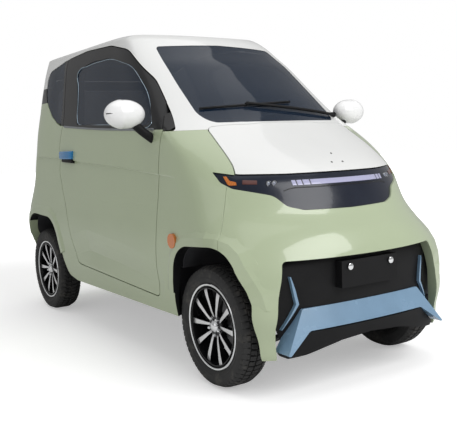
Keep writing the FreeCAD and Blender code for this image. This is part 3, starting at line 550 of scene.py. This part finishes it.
class MICROCAR_OT_wheels(bpy.types.Operator):
    """Build the treaded tyres and the machined wheels with their nuts and caps"""

    bl_idname = "microcar.wheels"
    bl_label = "Wheels"

    RING_STEPS = 96
    WALL = [
        (0.049, 0.169), (0.0535, 0.184), (0.0600, 0.190), (0.0652, 0.201), (0.0668, 0.2055), (0.0676, 0.2065),
        (0.0676, 0.2085), (0.0672, 0.2095), (0.0680, 0.217), (0.0665, 0.233), (0.0620, 0.2425),
        (0.0560, 0.2485), (0.0500, 0.2505)]
    TREAD_BLOCKS = 60
    BLOCK_HALF_WIDTH = 0.0105
    BLOCK_FOOT = 0.247
    BLOCK_TOP = 0.2578
    BLOCK_ROUNDING = 0.0014
    SHOULDER_ROW = (0.036, 0.064)
    SHOULDER_DROP = 0.0125
    MIDDLE_ROW = (0.0035, 0.0320)
    MIDDLE_SLANT = 0.005
    BARREL = [
        (0.0595, 0.162), (0.0600, 0.1655), (0.0540, 0.1675), (-0.053, 0.168), (-0.055, 0.183),
        (-0.061, 0.183), (-0.060, 0.162), (-0.030, 0.156), (0.040, 0.158), (0.0595, 0.162)]
    HUB = [
        (0.012, 0.0), (0.012, 0.052), (0.034, 0.052), (0.040, 0.048), (0.042, 0.030), (0.036, 0.027),
        (0.036, 0.0)]
    HUB_STEPS = 48
    ARMS = 5
    SPOKE_BACK = 0.014
    SPOKE_FACE = 0.040
    SPOKE_FOOT = 0.036
    SPOKE_TIP = 0.162
    SPOKE_OFFSET = 0.0085
    SPOKE_HALF_WIDTH = 0.0055
    SPOKE_WIDENING = 2.5
    SPOKE_SPREAD = 0.0440
    SPOKE_RISE = 0.011
    SPOKE_SHORTENING = 0.006
    SPOKE_CROWN = 0.003
    SPOKE_ROUNDING = 0.0015
    LIP = [
        (0.0555, 0.1735), (0.0600, 0.1745), (0.0612, 0.1765), (0.0618, 0.1815), (0.0595, 0.1838),
        (0.0562, 0.1836), (0.0555, 0.1735)]
    CAP = [(0.036, 0.0), (0.036, 0.0265), (0.046, 0.0262), (0.052, 0.0225), (0.0565, 0.013), (0.058, 0.0)]
    CAP_STEPS = 40
    NUT = [(0.036, 0.0), (0.036, 0.0075), (0.049, 0.0072), (0.0535, 0.0045), (0.0545, 0.0)]
    NUT_STEPS = 16
    NUT_CIRCLE = 0.0385

    def execute(self, context):
        parts = {
            "tyre": (self.tyre(), "tyre_rubber", ("tyre",)),
            "barrel": (self.barrel(), "gloss_black", ("rim",)),
            "spokes": (self.spokes(), "bright_alloy", ()),
            "brightwork": (self.brightwork(), "bright_alloy", ()),
        }
        for end, y in (("front", FRONT_AXLE_Y), ("rear", REAR_AXLE_Y)):
            for side, sign in SIDES:
                tail = "_" + end + "_" + side
                for name, (part, slot, stands_for) in parts.items():
                    shift = (sign * WHEEL_X, y, AXLE_HEIGHT)
                    piece = copied(part, "wheel_" + name + tail, shift, sign < 0)
                    finish = "chrome" if name == "brightwork" else None
                    fit(piece, "wheel" + tail, slot, finish, [node + tail for node in stands_for])
        for part, slot, stands_for in parts.values():
            bpy.data.objects.remove(part)
        return {"FINISHED"}

    def tyre(self):
        wall = [(-x, r) for x, r in self.WALL] + self.WALL[::-1]
        pieces = [turned("tyre", wall + wall[:1], self.RING_STEPS)]
        for row in (self.SHOULDER_ROW, self.MIDDLE_ROW):
            pieces += [self.tread_row(sign, row) for sign in (1, -1)]
        return joined(pieces, "tyre")

    def tread_row(self, sign, row):
        """One ring of tread blocks. Those on the shoulder slope down, and those in the middle slant."""
        on_shoulder = row == self.SHOULDER_ROW
        middle = sum(row) / 2
        low, high = sorted((sign * row[0], sign * row[1]))
        width = self.BLOCK_HALF_WIDTH
        piece = block("row", (low, -width, self.BLOCK_FOOT), (high, width, self.BLOCK_TOP))
        step = (0, 0, -self.SHOULDER_DROP) if on_shoulder else (0, self.MIDDLE_SLANT, 0)
        with editing(piece) as mesh:
            select_points(mesh, lambda point: abs(point.x) > middle)
            bpy.ops.transform.translate(value=step)
        round_edges(piece, self.BLOCK_ROUNDING, 1)
        if not on_shoulder:
            piece.data.transform(Matrix.Rotation(math.pi / self.TREAD_BLOCKS, 4, "X"))
        repeated(piece, self.TREAD_BLOCKS)
        return piece

    def barrel(self):
        barrel = turned("barrel", self.BARREL)
        hub = turned("hub", self.HUB, self.HUB_STEPS)
        return joined([barrel, hub], "barrel")

    def spokes(self):
        """Five pairs of spokes that widen towards the rim, machined on the face and black on the sides."""
        spokes = joined([self.spoke(sign) for sign in (-1, 1)], "spokes")
        spokes.data.materials.append(material("machined"))
        spokes.data.materials.append(material("gloss_black"))
        for face in spokes.data.polygons:
            face.material_index = 0 if face.normal.x > 0.55 else 1
        repeated(spokes, self.ARMS)
        return spokes

    def spoke(self, sign):
        middle = sign * self.SPOKE_OFFSET
        spoke = block(
            "spoke", (self.SPOKE_BACK, middle - self.SPOKE_HALF_WIDTH, self.SPOKE_FOOT),
            (self.SPOKE_FACE, middle + self.SPOKE_HALF_WIDTH, self.SPOKE_TIP))
        with editing(spoke) as mesh:
            select_points(mesh, lambda point: point.z > 0.15)
            bpy.ops.transform.resize(value=(1, self.SPOKE_WIDENING, 1), center_override=(0, middle, 0))
            bpy.ops.transform.translate(
                value=(self.SPOKE_RISE, sign * self.SPOKE_SPREAD, -self.SPOKE_SHORTENING))
            bpy.ops.mesh.select_all(action="SELECT")
            bpy.ops.mesh.subdivide(number_cuts=3)
            select_points(mesh, lambda point: 0.06 < point.z < 0.14)
            bpy.ops.transform.translate(value=(self.SPOKE_CROWN, 0, 0))
        round_edges(spoke, self.SPOKE_ROUNDING, 2)
        return spoke

    def brightwork(self):
        """Bright lip, domed centre cap and five round nuts."""
        lip = turned("lip", self.LIP, self.RING_STEPS)
        cap = turned("cap", self.CAP, self.CAP_STEPS)
        nut = moved(turned("nut", self.NUT, self.NUT_STEPS), (0, 0, self.NUT_CIRCLE))
        nut.data.transform(Matrix.Rotation(math.pi / self.ARMS, 4, "X"))
        repeated(nut, self.ARMS)
        return joined([lip, cap, nut], "brightwork")


# Doors and their fittings


class MICROCAR_OT_mirrors(bpy.types.Operator):
    """Build the egg-shaped mirror housings with their glass, slot and stalk"""

    bl_idname = "microcar.mirrors"
    bl_label = "Door mirrors"

    CENTRE_X = 0.672
    CENTRE_BACK = 0.452
    CENTRE_Z = 1.170
    HALF_SIZE = (0.0975, 0.0615, 0.0645)
    OPEN_BACK = 0.040
    RIM_WIDTH = 0.006
    RIM_DEPTH = 0.003
    GLASS_HALF_SIZE = (0.066, 0.043)
    GLASS_BACK = 0.0365
    GLASS_THICKNESS = 0.002
    STALK = [(0.531, 0.438, 1.046), (0.560, 0.439, 1.066), (0.602, 0.442, 1.098), (0.640, 0.448, 1.136)]
    STALK_RADIUS = 0.0205
    SLOT_ANGLES = (12, 24, 36, 48, 60, 70)
    SLOT_HALF_SIZE = (0.0955, 0.0595)
    SLOT_RISE = 0.002
    SLOT_RADIUS = 0.0034

    def execute(self, context):
        template = self.housing()
        for side, sign in SIDES:
            body = "door_" + side
            housing = copied(template, "mirror_housing_" + side, flip=sign < 0)
            stalk = [(sign * x, behind(y), z) for x, y, z in self.STALK]
            stalk = tube_along("mirror_stalk_" + side, stalk, self.STALK_RADIUS, 5)
            slot = tube_along("mirror_slot_" + side, self.slot_line(sign), self.SLOT_RADIUS)
            glass = self.glass(sign, side)
            fit(housing, body, "white_plastic", replaces=["mirror_" + side], angle=50)
            fit(stalk, body, "black_plastic", angle=60)
            fit(slot, body, "gloss_black")
            fit(glass, body, "silver_trim", "mirror_glass")
        bpy.data.objects.remove(template)
        return {"FINISHED"}

    def centre(self, sign=1):
        return Vector((sign * self.CENTRE_X, behind(self.CENTRE_BACK), self.CENTRE_Z))

    def slot_line(self, sign):
        """Points round the outer front of the housing, on its parting line."""
        turns = [math.radians(angle) for angle in self.SLOT_ANGLES]
        wide, deep = self.SLOT_HALF_SIZE
        steps = [(sign * wide * math.cos(turn), -deep * math.sin(turn), self.SLOT_RISE) for turn in turns]
        return [self.centre(sign) + Vector(step) for step in steps]

    def housing(self):
        deselect()
        bpy.ops.mesh.primitive_uv_sphere_add(segments=64, ring_count=40, radius=1, location=(0, 0, 0))
        shell = bpy.context.object
        with editing(shell) as mesh:
            select_points(mesh, lambda point: point.x > 0.2)
            bpy.ops.transform.resize(value=(1, 1.06, 1.05))
            bpy.ops.mesh.select_all(action="SELECT")
            bpy.ops.transform.resize(value=self.HALF_SIZE)
            bpy.ops.transform.translate(value=self.centre())
            bpy.ops.mesh.select_all(action="SELECT")
            bpy.ops.mesh.bisect(
                plane_co=self.centre() + Vector((0, self.OPEN_BACK, 0)), plane_no=(0, 1, 0), use_fill=True,
                clear_outer=True)
            bpy.ops.mesh.select_all(action="SELECT")
            bpy.ops.mesh.vertices_smooth(factor=0.4, repeat=2)
        with editing(shell) as mesh:
            for face in mesh.faces:
                face.select = face.normal.y > 0.98 and len(face.verts) > 8
            bpy.ops.mesh.inset(thickness=self.RIM_WIDTH, depth=-self.RIM_DEPTH)
        return shell

    def glass(self, sign, side):
        deselect()
        bpy.ops.mesh.primitive_circle_add(vertices=64, radius=1, fill_type="NGON", location=(0, 0, 0))
        glass = bpy.context.object
        glass.name = "mirror_glass_" + side
        with editing(glass):
            bpy.ops.mesh.select_all(action="SELECT")
            bpy.ops.transform.resize(value=(*self.GLASS_HALF_SIZE, 1))
            bpy.ops.mesh.extrude_region_move(TRANSFORM_OT_translate={"value": (0, 0, self.GLASS_THICKNESS)})
        glass.data.transform(Matrix.Rotation(math.radians(-90), 4, "X"))
        moved(glass, self.centre(sign) + Vector((0, self.GLASS_BACK, 0)))
        with editing(glass):
            bpy.ops.mesh.select_all(action="SELECT")
            bpy.ops.mesh.normals_make_consistent(inside=False)
        return glass


class MICROCAR_OT_door_trim(bpy.types.Operator):
    """Build the door handles, the bright window line and the belt strips"""

    bl_idname = "microcar.door_trim"
    bl_label = "Door trim"

    WINDOW = [
        (0.4560, 1.1230), (0.7000, 1.1300), (1.0000, 1.1430), (1.3600, 1.1620), (1.3870, 1.1800),
        (1.4260, 1.2900), (1.4620, 1.3850), (1.4950, 1.4500), (1.4800, 1.4720), (1.3800, 1.4860),
        (1.2000, 1.4930), (1.0500, 1.4880), (0.9000, 1.4560), (0.7700, 1.4180), (0.6500, 1.3440),
        (0.5450, 1.2560), (0.4640, 1.1450)]
    WINDOW_LINE_RADIUS = 0.0022
    BELT = [(0.425, 1.099), (0.70, 1.107), (1.00, 1.120), (1.30, 1.137), (1.575, 1.156)]
    BELT_RADIUS = 0.0055
    GRIP = ((0.5450, 1.400, 0.9660), (0.5745, 1.586, 1.0125))
    BASE = ((0.5460, 1.400, 0.9435), (0.5700, 1.560, 0.9665))
    BASE_LIFT = 0.006

    def execute(self, context):
        line = [on_side("door_glass_left door_left", y, z, 0.0006) for y, z in self.WINDOW]
        belt = [on_side("door_left", y, z, 0.001) for y, z in self.BELT]
        parts = (
            (self.grip(), "handle_grip_", "blue_film", None),
            (self.base(), "handle_base_", "black_plastic", None),
            (tube_along("line", line, self.WINDOW_LINE_RADIUS, 2, True), "window_line_", "silver_trim", None),
            (tube_along("belt", belt, self.BELT_RADIUS, 2), "belt_strip_", "dark_trim", "belt_grey"),
        )
        for side, sign in SIDES:
            for part, name, slot, finish in parts:
                piece = copied(part, name + side, flip=sign < 0)
                stands_for = ["door_handle_" + side] if slot == "blue_film" else []
                fit(piece, "door_" + side, slot, finish, stands_for)
        for part, name, slot, finish in parts:
            bpy.data.objects.remove(part)
        return {"FINISHED"}

    def handle_block(self, name, corners, rounding):
        low, high = [(x, behind(y), z) for x, y, z in corners]
        return block(name, low, high, rounding, 3)

    def grip(self):
        return self.handle_block("grip", self.GRIP, 0.007)

    def base(self):
        base = self.handle_block("base", self.BASE, 0.005)
        with editing(base) as mesh:
            select_points(mesh, lambda point: point.z < 0.950 and point.y > behind(1.48))
            bpy.ops.transform.translate(value=(0, 0, self.BASE_LIFT))
        return base


# Front


class MICROCAR_OT_front(bpy.types.Operator):
    """Build the lamps, the bumper's fittings, the bolts and the bonnet's empty badge holes"""

    bl_idname = "microcar.front"
    bl_label = "Front fittings"

    DASHES = (
        (-0.243, -0.226), (-0.221, -0.200), (-0.195, -0.166), (-0.161, 0.222), (0.227, 0.249), (0.254, 0.270))
    DASH_TOP = 0.8610
    DASH_FOOT = 0.8400
    DASH_STEP = 0.02
    DASH_PROUD = 0.0022
    PROJECTORS_X = (0.313, 0.334)
    PROJECTOR_Z = 0.852
    PROJECTOR_RADIUS = 0.0088
    RING_RADIUS = 0.0094
    RING_THICKNESS = 0.0018
    INSERT = ((0.419, 0.8705), (0.371, 0.8665), (0.377, 0.8500), (0.425, 0.8525))
    INSERT_PROUD = 0.0028
    BOLT = (0.113, 0.510)
    BOLT_RADIUS = 0.0135
    DOME_HEIGHT = 0.004
    DIVISION = (
        (-0.286, 0.8200), (-0.255, 0.8285), (-0.15, 0.8300), (0.0, 0.8310), (0.15, 0.8300), (0.255, 0.8285),
        (0.286, 0.8200))
    DIVISION_RADIUS = 0.0022
    BADGE_HOLES = ((0.051, -0.108), (0.002, -0.167), (0.066, -0.165))
    HOLE = [(0.0004, 0.0), (0.0004, 0.0042), (0.0010, 0.0046), (-0.001, 0.0052)]
    BONNET_SLOPE = 60

    def execute(self, context):
        bar = joined([self.dash(low, high) for low, high in self.DASHES], "light_bar_segments")
        fit(bar, "root", "clear_lens", "lamp_glow", ["front_lamps"])
        for side, sign in SIDES:
            self.lamps(side, sign)
            x, z = self.BOLT
            bolt = self.stud(sign * x, z, self.BOLT_RADIUS, "plate_bracket")
            bolt.name = "bracket_bolt_" + side
            fit(bolt, "root", "silver_trim", "chrome")
        line = [on_front("lamp_strip", x, z, 0.0004) for x, z in self.DIVISION]
        fit(tube_along("grille_division", line, self.DIVISION_RADIUS, 2), "root", "gloss_black")
        # The badge holes are black discs: painted shade inside the empty holes.
        holes = [self.hole(x, y) for x, y in self.BADGE_HOLES]
        fit(joined(holes, "badge_holes"), "bonnet", "black_plastic")
        return {"FINISHED"}

    def lamps(self, side, sign):
        """The twin projectors of one side and the dark insert beside them."""
        places = [(sign * x, self.PROJECTOR_Z) for x in self.PROJECTORS_X]
        lenses = [self.stud(x, z, self.PROJECTOR_RADIUS, "lamp_strip") for x, z in places]
        fit(joined(lenses, "projectors_" + side), "root", "clear_lens", "projector")
        rings = [self.ring(x, z) for x, z in places]
        fit(joined(rings, "projector_rings_" + side), "root", "silver_trim", "chrome")
        insert = self.strip_on("lamp_strip", [(sign * x, z) for x, z in self.INSERT], self.INSERT_PROUD)
        insert.name = "lamp_insert_" + side
        fit(insert, "root", "amber_lens", "red_brown")

    def dash(self, low, high):
        """One lit segment laid on the lamp strip."""
        count = max(2, round((high - low) / self.DASH_STEP))
        xs = [low + (high - low) * i / count for i in range(count + 1)]
        outline = [(x, self.DASH_TOP) for x in xs] + [(x, self.DASH_FOOT) for x in reversed(xs)]
        return self.strip_on("lamp_strip", outline, self.DASH_PROUD)

    def strip_on(self, node, outline, proud):
        """Thin raised piece on a front panel, from a closed outline of (x, z) points."""
        half = len(outline) // 2
        deselect()
        bpy.ops.mesh.primitive_grid_add(x_subdivisions=half - 1, y_subdivisions=1, size=1)
        piece = bpy.context.object
        with editing(piece) as mesh:
            upper = sorted([v for v in mesh.verts if v.co.y > 0], key=lambda v: v.co.x)
            lower = sorted([v for v in mesh.verts if v.co.y < 0], key=lambda v: v.co.x)
            for point, (x, z) in zip(upper, outline[:half]):
                point.co = on_front(node, x, z, proud)
            for point, (x, z) in zip(lower, reversed(outline[half:])):
                point.co = on_front(node, x, z, proud)
            bpy.ops.mesh.select_all(action="SELECT")
            bpy.ops.mesh.extrude_region_move(TRANSFORM_OT_translate={"value": (0, proud + 0.001, 0)})
            bpy.ops.mesh.select_all(action="SELECT")
            bpy.ops.mesh.normals_make_consistent(inside=False)
        round_edges(piece, 0.0008, 1)
        return piece

    def stud(self, x, z, radius, node):
        """Low round dome on a front panel, its axis along the car."""
        height = self.DOME_HEIGHT
        outline = [(-0.002, 0.0), (-0.002, radius), (height * 0.4, radius), (height * 0.8, radius * 0.75),
                   (height, 0.0)]
        dome = turned("stud", outline, 24)
        dome.data.transform(Matrix.Rotation(math.radians(-90), 4, "Z"))
        return moved(dome, on_front(node, x, z))

    def ring(self, x, z):
        """Bright ring around a projector."""
        inner = self.RING_RADIUS
        outer = inner + self.RING_THICKNESS
        outline = [(-0.001, inner), (0.0035, inner), (0.0035, outer), (-0.001, outer), (-0.001, inner)]
        ring = turned("ring", outline, 32)
        ring.data.transform(Matrix.Rotation(math.radians(-90), 4, "Z"))
        return moved(ring, on_front("lamp_strip", x, z))

    def hole(self, x, y):
        """Dark disc with a raised edge that stands for the hole of a missing badge pin: its black is painted
        shade inside the hole.
        """
        disc = turned("hole", self.HOLE, 20)
        slope = Matrix.Rotation(math.radians(-self.BONNET_SLOPE), 4, "X")
        disc.data.transform(slope @ Matrix.Rotation(math.radians(-90), 4, "Z"))
        return moved(disc, on_top("bonnet", x, y))


# Cabin


class MICROCAR_OT_seats(bpy.types.Operator):
    """Stuff the front seats and the rear bench"""

    bl_idname = "microcar.seats"
    bl_label = "Seats"

    SEAT_X = 0.26
    BACK_Y = 1.240
    LEAN_Z = 0.520
    LEAN = 10
    CUSHION = ((1.010, 0.500), (0.385, 0.430, 0.115))
    BACK = ((BACK_Y, 0.790), (0.360, 0.090, 0.500))
    HEADREST = ((BACK_Y, 1.160), (0.210, 0.068, 0.135))
    BENCH = ((1.760, 0.545), (0.720, 0.370, 0.170))
    BASE = ((-0.170, 0.830, 0.276), (0.170, 1.190, 0.450))
    POSTS_X = (-0.06, 0.06)
    POSTS_Z = (1.02, 1.10)
    POST_RADIUS = 0.007
    VOXEL_SIZE = 0.012
    PRESSURE = 3.0
    STIFFNESS = 40
    FRAMES = 16
    CAP = 0.012

    def execute(self, context):
        for side, sign in SIDES:
            self.seat(side, sign * self.SEAT_X)
        bench = self.pillow("rear_bench", 0, self.BENCH)
        fit(bench, "root", "grey_fabric", replaces=["rear_seat"], angle=60)
        return {"FINISHED"}

    def seat(self, side, x):
        cushion = self.pillow("seat_cushion_" + side, x, self.CUSHION)
        back = self.pillow("seat_back_" + side, x, self.BACK)
        rest = self.pillow("headrest_" + side, x, self.HEADREST)
        low, high = [(x + corner, behind(y), z) for corner, y, z in self.BASE]
        base = block("seat_base_" + side, low, high, 0.012)
        lines = [[(x + offset, behind(self.BACK_Y), z) for z in self.POSTS_Z] for offset in self.POSTS_X]
        posts = [tube_along("post", line, self.POST_RADIUS) for line in lines]
        posts = joined(posts, "headrest_posts_" + side)
        for piece in (back, rest, posts):
            self.lean(piece)
        for piece in (cushion, back, rest):
            fit(piece, "root", "grey_fabric", angle=60)
        fit(base, "root", "dark_trim")
        fit(posts, "root", "bare_steel", "chrome")
        if side == "left":
            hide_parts("front_seats")

    def lean(self, piece):
        pivot = Vector((0, behind(self.BACK_Y), self.LEAN_Z))
        turn = Matrix.Rotation(math.radians(-self.LEAN), 4, "X")
        piece.data.transform(Matrix.Translation(pivot) @ turn @ Matrix.Translation(-pivot))

    def pillow(self, name, x, form):
        """Rounded block swelled as cloth. The cap is reached all over, so its broad faces stay nearly flat."""
        (y, z), size = form
        centre = Vector((x, behind(y), z))
        half = Vector(size) / 2
        piece = block(name, centre - half, centre + half, min(size) * 0.30, 4)
        remesh = piece.modifiers.new("remesh", "REMESH")
        remesh.mode = "VOXEL"
        remesh.voxel_size = self.VOXEL_SIZE
        chosen(piece)
        bpy.ops.object.modifier_apply(modifier=remesh.name)
        self.blow_up(piece)
        smooth = piece.modifiers.new("subdivision", "SUBSURF")
        smooth.levels = 1
        chosen(piece)
        bpy.ops.object.modifier_apply(modifier=smooth.name)
        return piece

    def blow_up(self, piece):
        """Runs the cloth under pressure, without gravity, and caps how far a point may move."""
        scene = bpy.context.scene
        scene.gravity = (0, 0, 0)
        start = [point.co.copy() for point in piece.data.vertices]
        cloth = piece.modifiers.new("cloth", "CLOTH")
        cloth.settings.use_pressure = True
        cloth.settings.uniform_pressure_force = self.PRESSURE
        cloth.settings.tension_stiffness = cloth.settings.compression_stiffness = self.STIFFNESS
        cloth.point_cache.frame_start = 1
        cloth.point_cache.frame_end = self.FRAMES
        for number in range(1, self.FRAMES + 1):
            scene.frame_set(number)
        chosen(piece)
        bpy.ops.object.modifier_apply(modifier=cloth.name)
        scene.frame_set(1)
        for point, first in zip(piece.data.vertices, start):
            step = point.co - first
            if step.length > self.CAP:
                point.co = first + step.normalized() * self.CAP


# Finishes and stage


class MICROCAR_OT_finishes(bpy.types.Operator):
    """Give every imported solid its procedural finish"""

    bl_idname = "microcar.finishes"
    bl_label = "Finishes"

    OWN = {
        "door_left": "door_paint", "door_right": "door_paint",
        "side_panel_left": "panel_paint", "side_panel_right": "panel_paint", "front_bumper": "panel_paint",
        "bumper_brightwork": "steel_blue", "lamp_strip": "lamp_blue",
    }

    def execute(self, context):
        for row in frame["record"]["subparts"]:
            node = frame["nodes"][row["node"]]
            node.data.materials.clear()
            node.data.materials.append(material(self.OWN.get(row["node"], row["material_slot"])))
        return {"FINISHED"}


class MICROCAR_OT_stage(bpy.types.Operator):
    """Set the camera, the pale floor and the soft studio light"""

    bl_idname = "microcar.stage"
    bl_label = "Stage"

    CAMERA_PLACE = (-2.1009, -3.5561, 1.0227)
    CAMERA_RIGHT = (0.8355, -0.5481, -0.0387)
    CAMERA_UP = (0.0881, 0.0642, 0.9940)
    CAMERA_AHEAD = (0.5423, 0.8340, -0.1019)
    FLOOR_SIZE = 60
    FLOOR_LIFT = 0.38
    FADE_DISTANCE = 4.2
    FADE_WIDTH = 1.8
    SKY = 0.42
    TARGET = (0, 0, 0.7)
    LAMPS = (
        ("key", (1.5, -6.5, 5.0), 4.5, 330),
        ("fill", (-6.0, -1.5, 2.6), 4.0, 30),
        ("top", (0, 0, 6), 6.0, 90),
    )

    def execute(self, context):
        self.camera(context)
        self.floor(context)
        self.sky(context)
        self.lights(context)
        return {"FINISHED"}

    def camera(self, context):
        data = bpy.data.cameras.new("Camera")
        data.lens = settings().lens_length
        data.sensor_width = 36
        data.clip_end = 200
        camera = bpy.data.objects.new("Camera", data)
        context.scene.collection.objects.link(camera)
        axes = Matrix((self.CAMERA_RIGHT, self.CAMERA_UP, -Vector(self.CAMERA_AHEAD)))
        camera.matrix_world = Matrix.Translation(self.CAMERA_PLACE) @ axes.transposed().to_4x4()
        context.scene.camera = camera

    def floor(self, context):
        """Pale floor that keeps the car's shadow and fades to white away from it."""
        deselect()
        bpy.ops.mesh.primitive_plane_add(size=self.FLOOR_SIZE, location=(0, 0, 0))
        floor = context.object
        floor.name = "floor"
        shader = Shader("pale floor", Roughness=0.9)
        shader.surface.inputs["Base Color"].default_value = (0.9, 0.9, 0.9, 1)
        seen = shader.add("LightPath")
        x, y = shader.part(0), shader.part(1)
        far = (x * x + y * y).maths("SQRT").above(self.FADE_DISTANCE, self.FADE_WIDTH)
        lift = far * (1 - self.FLOOR_LIFT) + self.FLOOR_LIFT
        shader.set("Emission Color", shader.mix(seen * lift, (0, 0, 0), (1, 1, 1)))
        shader.set("Emission Strength", 1.0)
        floor.data.materials.append(shader.material)

    def sky(self, context):
        """World that is white to the camera and dimmer as a light."""
        world = bpy.data.worlds.new("World")
        context.scene.world = world
        world.use_nodes = True
        tree = world.node_tree
        seen = tree.nodes.new("ShaderNodeLightPath")
        strength = tree.nodes.new("ShaderNodeMapRange")
        strength.inputs["To Min"].default_value = self.SKY
        tree.links.new(seen.outputs["Is Camera Ray"], strength.inputs["Value"])
        tree.links.new(strength.outputs[0], tree.nodes["Background"].inputs["Strength"])
        tree.nodes["Background"].inputs["Color"].default_value = (1, 1, 1, 1)

    def lights(self, context):
        for name, place, size, power in self.LAMPS:
            data = bpy.data.lights.new(name, "AREA")
            data.size = size
            data.energy = power
            lamp = bpy.data.objects.new(name, data)
            context.scene.collection.objects.link(lamp)
            lamp.location = place
            lamp.rotation_euler = (Vector(self.TARGET) - Vector(place)).to_track_quat("-Z", "Y").to_euler()


class MICROCAR_PT_panel(bpy.types.Panel):
    """Shows the settings and a button for each step that dresses the car"""

    bl_idname = "MICROCAR_PT_panel"
    bl_label = "Microcar"
    bl_space_type = "VIEW_3D"
    bl_region_type = "UI"
    bl_category = "Microcar"

    def draw(self, context):
        for name in MicrocarSettings.__annotations__:
            self.layout.prop(context.scene.microcar, name)
        for operator in OPERATORS:
            self.layout.operator(operator.bl_idname)


OPERATORS = (
    MICROCAR_OT_stage, MICROCAR_OT_finishes, MICROCAR_OT_wheels, MICROCAR_OT_mirrors, MICROCAR_OT_door_trim,
    MICROCAR_OT_front, MICROCAR_OT_seats)
CLASSES = (MicrocarSettings,) + OPERATORS + (MICROCAR_PT_panel,)


def register():
    for item in CLASSES:
        bpy.utils.register_class(item)
    bpy.types.Scene.microcar = PointerProperty(type=MicrocarSettings)


def unregister():
    del bpy.types.Scene.microcar
    for item in reversed(CLASSES):
        bpy.utils.unregister_class(item)


def main():
    register()
    bpy.context.scene.view_settings.view_transform = "Standard"
    for operator in OPERATORS:
        group, name = operator.bl_idname.split(".")
        getattr(getattr(bpy.ops, group), name)()


if __name__ == "__main__":
    main()
